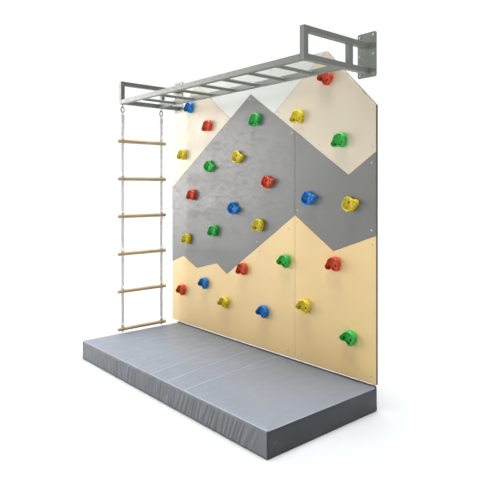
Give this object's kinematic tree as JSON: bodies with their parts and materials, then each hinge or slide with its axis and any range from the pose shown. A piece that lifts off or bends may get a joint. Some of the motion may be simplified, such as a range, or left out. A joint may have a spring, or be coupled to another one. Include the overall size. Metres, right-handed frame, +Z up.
{
  "type": "rock climbing wall",
  "caption": "Wall-mounted climbing boards with bolt-on holds, overhead monkey bars on two brackets, a hanging rope ladder and a loose floor mat.",
  "frame": {"origin": "middle of the footprint, on the floor", "axes": "+X along the wall to the right seen from the front, +Y into the room's wall, +Z up"},
  "size_m": [2.399, 1.012, 2.505],
  "materials": {
    "white_paint": "satin painted board",
    "beige_paint": "satin painted board",
    "grey_paint": "satin painted board",
    "tan_paint": "satin painted board",
    "red_resin": "cast resin, fine grit",
    "green_resin": "cast resin, fine grit",
    "blue_resin": "cast resin, fine grit",
    "yellow_resin": "cast resin, fine grit",
    "powder_coat": "satin powder coat",
    "dark_steel": "dark plated steel",
    "rung_wood": "clear-oiled dowel",
    "rope": "twisted white rope",
    "mat_cloth": "woven cover, matt"
  },
  "bodies": {
    "wall": {"board_beige_left": "beige_paint", "board_white_top": "white_paint", "board_beige_right": "beige_paint", "board_grey_left": "grey_paint", "board_grey_right": "grey_paint", "board_tan_left": "tan_paint", "board_tan_right": "tan_paint", "hold_01_blue": "blue_resin", "hold_02_red": "red_resin", "hold_03_yellow": "yellow_resin", "hold_04_red": "red_resin", "hold_05_green": "green_resin", "hold_06_yellow": "yellow_resin", "hold_07_red": "red_resin", "hold_08_blue": "blue_resin", "hold_09_yellow": "yellow_resin", "hold_10_red": "red_resin", "hold_11_yellow": "yellow_resin", "hold_12_blue": "blue_resin", "hold_13_green": "green_resin", "hold_14_yellow": "yellow_resin", "hold_15_green": "green_resin", "hold_16_red": "red_resin", "hold_17_green": "green_resin", "hold_18_yellow": "yellow_resin", "hold_19_green": "green_resin", "hold_20_red": "red_resin", "hold_21_green": "green_resin", "hold_22_yellow": "yellow_resin", "hold_23_red": "red_resin", "hold_24_blue": "blue_resin", "hold_25_blue": "blue_resin", "hold_26_yellow": "yellow_resin", "bracket_left": "powder_coat", "bracket_right": "powder_coat", "wall_plate_left": "powder_coat", "wall_plate_right": "powder_coat", "rung_frame": "powder_coat"},
    "mat": {"floor_mat": "mat_cloth"},
    "ladder_step_1": {"carabiner_front": "dark_steel", "carabiner_rear": "dark_steel", "rope_front_1": "rope", "rope_rear_1": "rope", "ladder_rung_1": "rung_wood"},
    "ladder_step_2": {"rope_front_2": "rope", "rope_rear_2": "rope", "ladder_rung_2": "rung_wood"},
    "ladder_step_3": {"rope_front_3": "rope", "rope_rear_3": "rope", "ladder_rung_3": "rung_wood"},
    "ladder_step_4": {"rope_front_4": "rope", "rope_rear_4": "rope", "ladder_rung_4": "rung_wood"},
    "ladder_step_5": {"rope_front_5": "rope", "rope_rear_5": "rope", "ladder_rung_5": "rung_wood"},
    "ladder_step_6": {"rope_front_6": "rope", "rope_rear_6": "rope", "ladder_rung_6": "rung_wood"}
  },
  "joints": [
    {"name": "ladder_swing_1", "type": "hinge", "parent": "wall", "child": "ladder_step_1", "pos_m": [-1.115, 0.095, 2.209], "axis": [0, 1, 0], "range_deg": [-35, 35]},
    {"name": "ladder_swing_2", "type": "hinge", "parent": "ladder_step_1", "child": "ladder_step_2", "pos_m": [-1.115, 0.095, 1.895], "axis": [0, 1, 0], "range_deg": [-15, 15]},
    {"name": "ladder_swing_3", "type": "hinge", "parent": "ladder_step_2", "child": "ladder_step_3", "pos_m": [-1.115, 0.095, 1.554], "axis": [0, 1, 0], "range_deg": [-15, 15]},
    {"name": "ladder_swing_4", "type": "hinge", "parent": "ladder_step_3", "child": "ladder_step_4", "pos_m": [-1.115, 0.095, 1.213], "axis": [0, 1, 0], "range_deg": [-15, 15]},
    {"name": "ladder_swing_5", "type": "hinge", "parent": "ladder_step_4", "child": "ladder_step_5", "pos_m": [-1.115, 0.095, 0.872], "axis": [0, 1, 0], "range_deg": [-15, 15]},
    {"name": "ladder_swing_6", "type": "hinge", "parent": "ladder_step_5", "child": "ladder_step_6", "pos_m": [-1.115, 0.095, 0.531], "axis": [0, 1, 0], "range_deg": [-15, 15]},
    {"name": "mat_slide", "type": "slide", "parent": "wall", "child": "mat", "axis": [0, -1, 0], "range_m": [0, 0.6]}
  ]
}
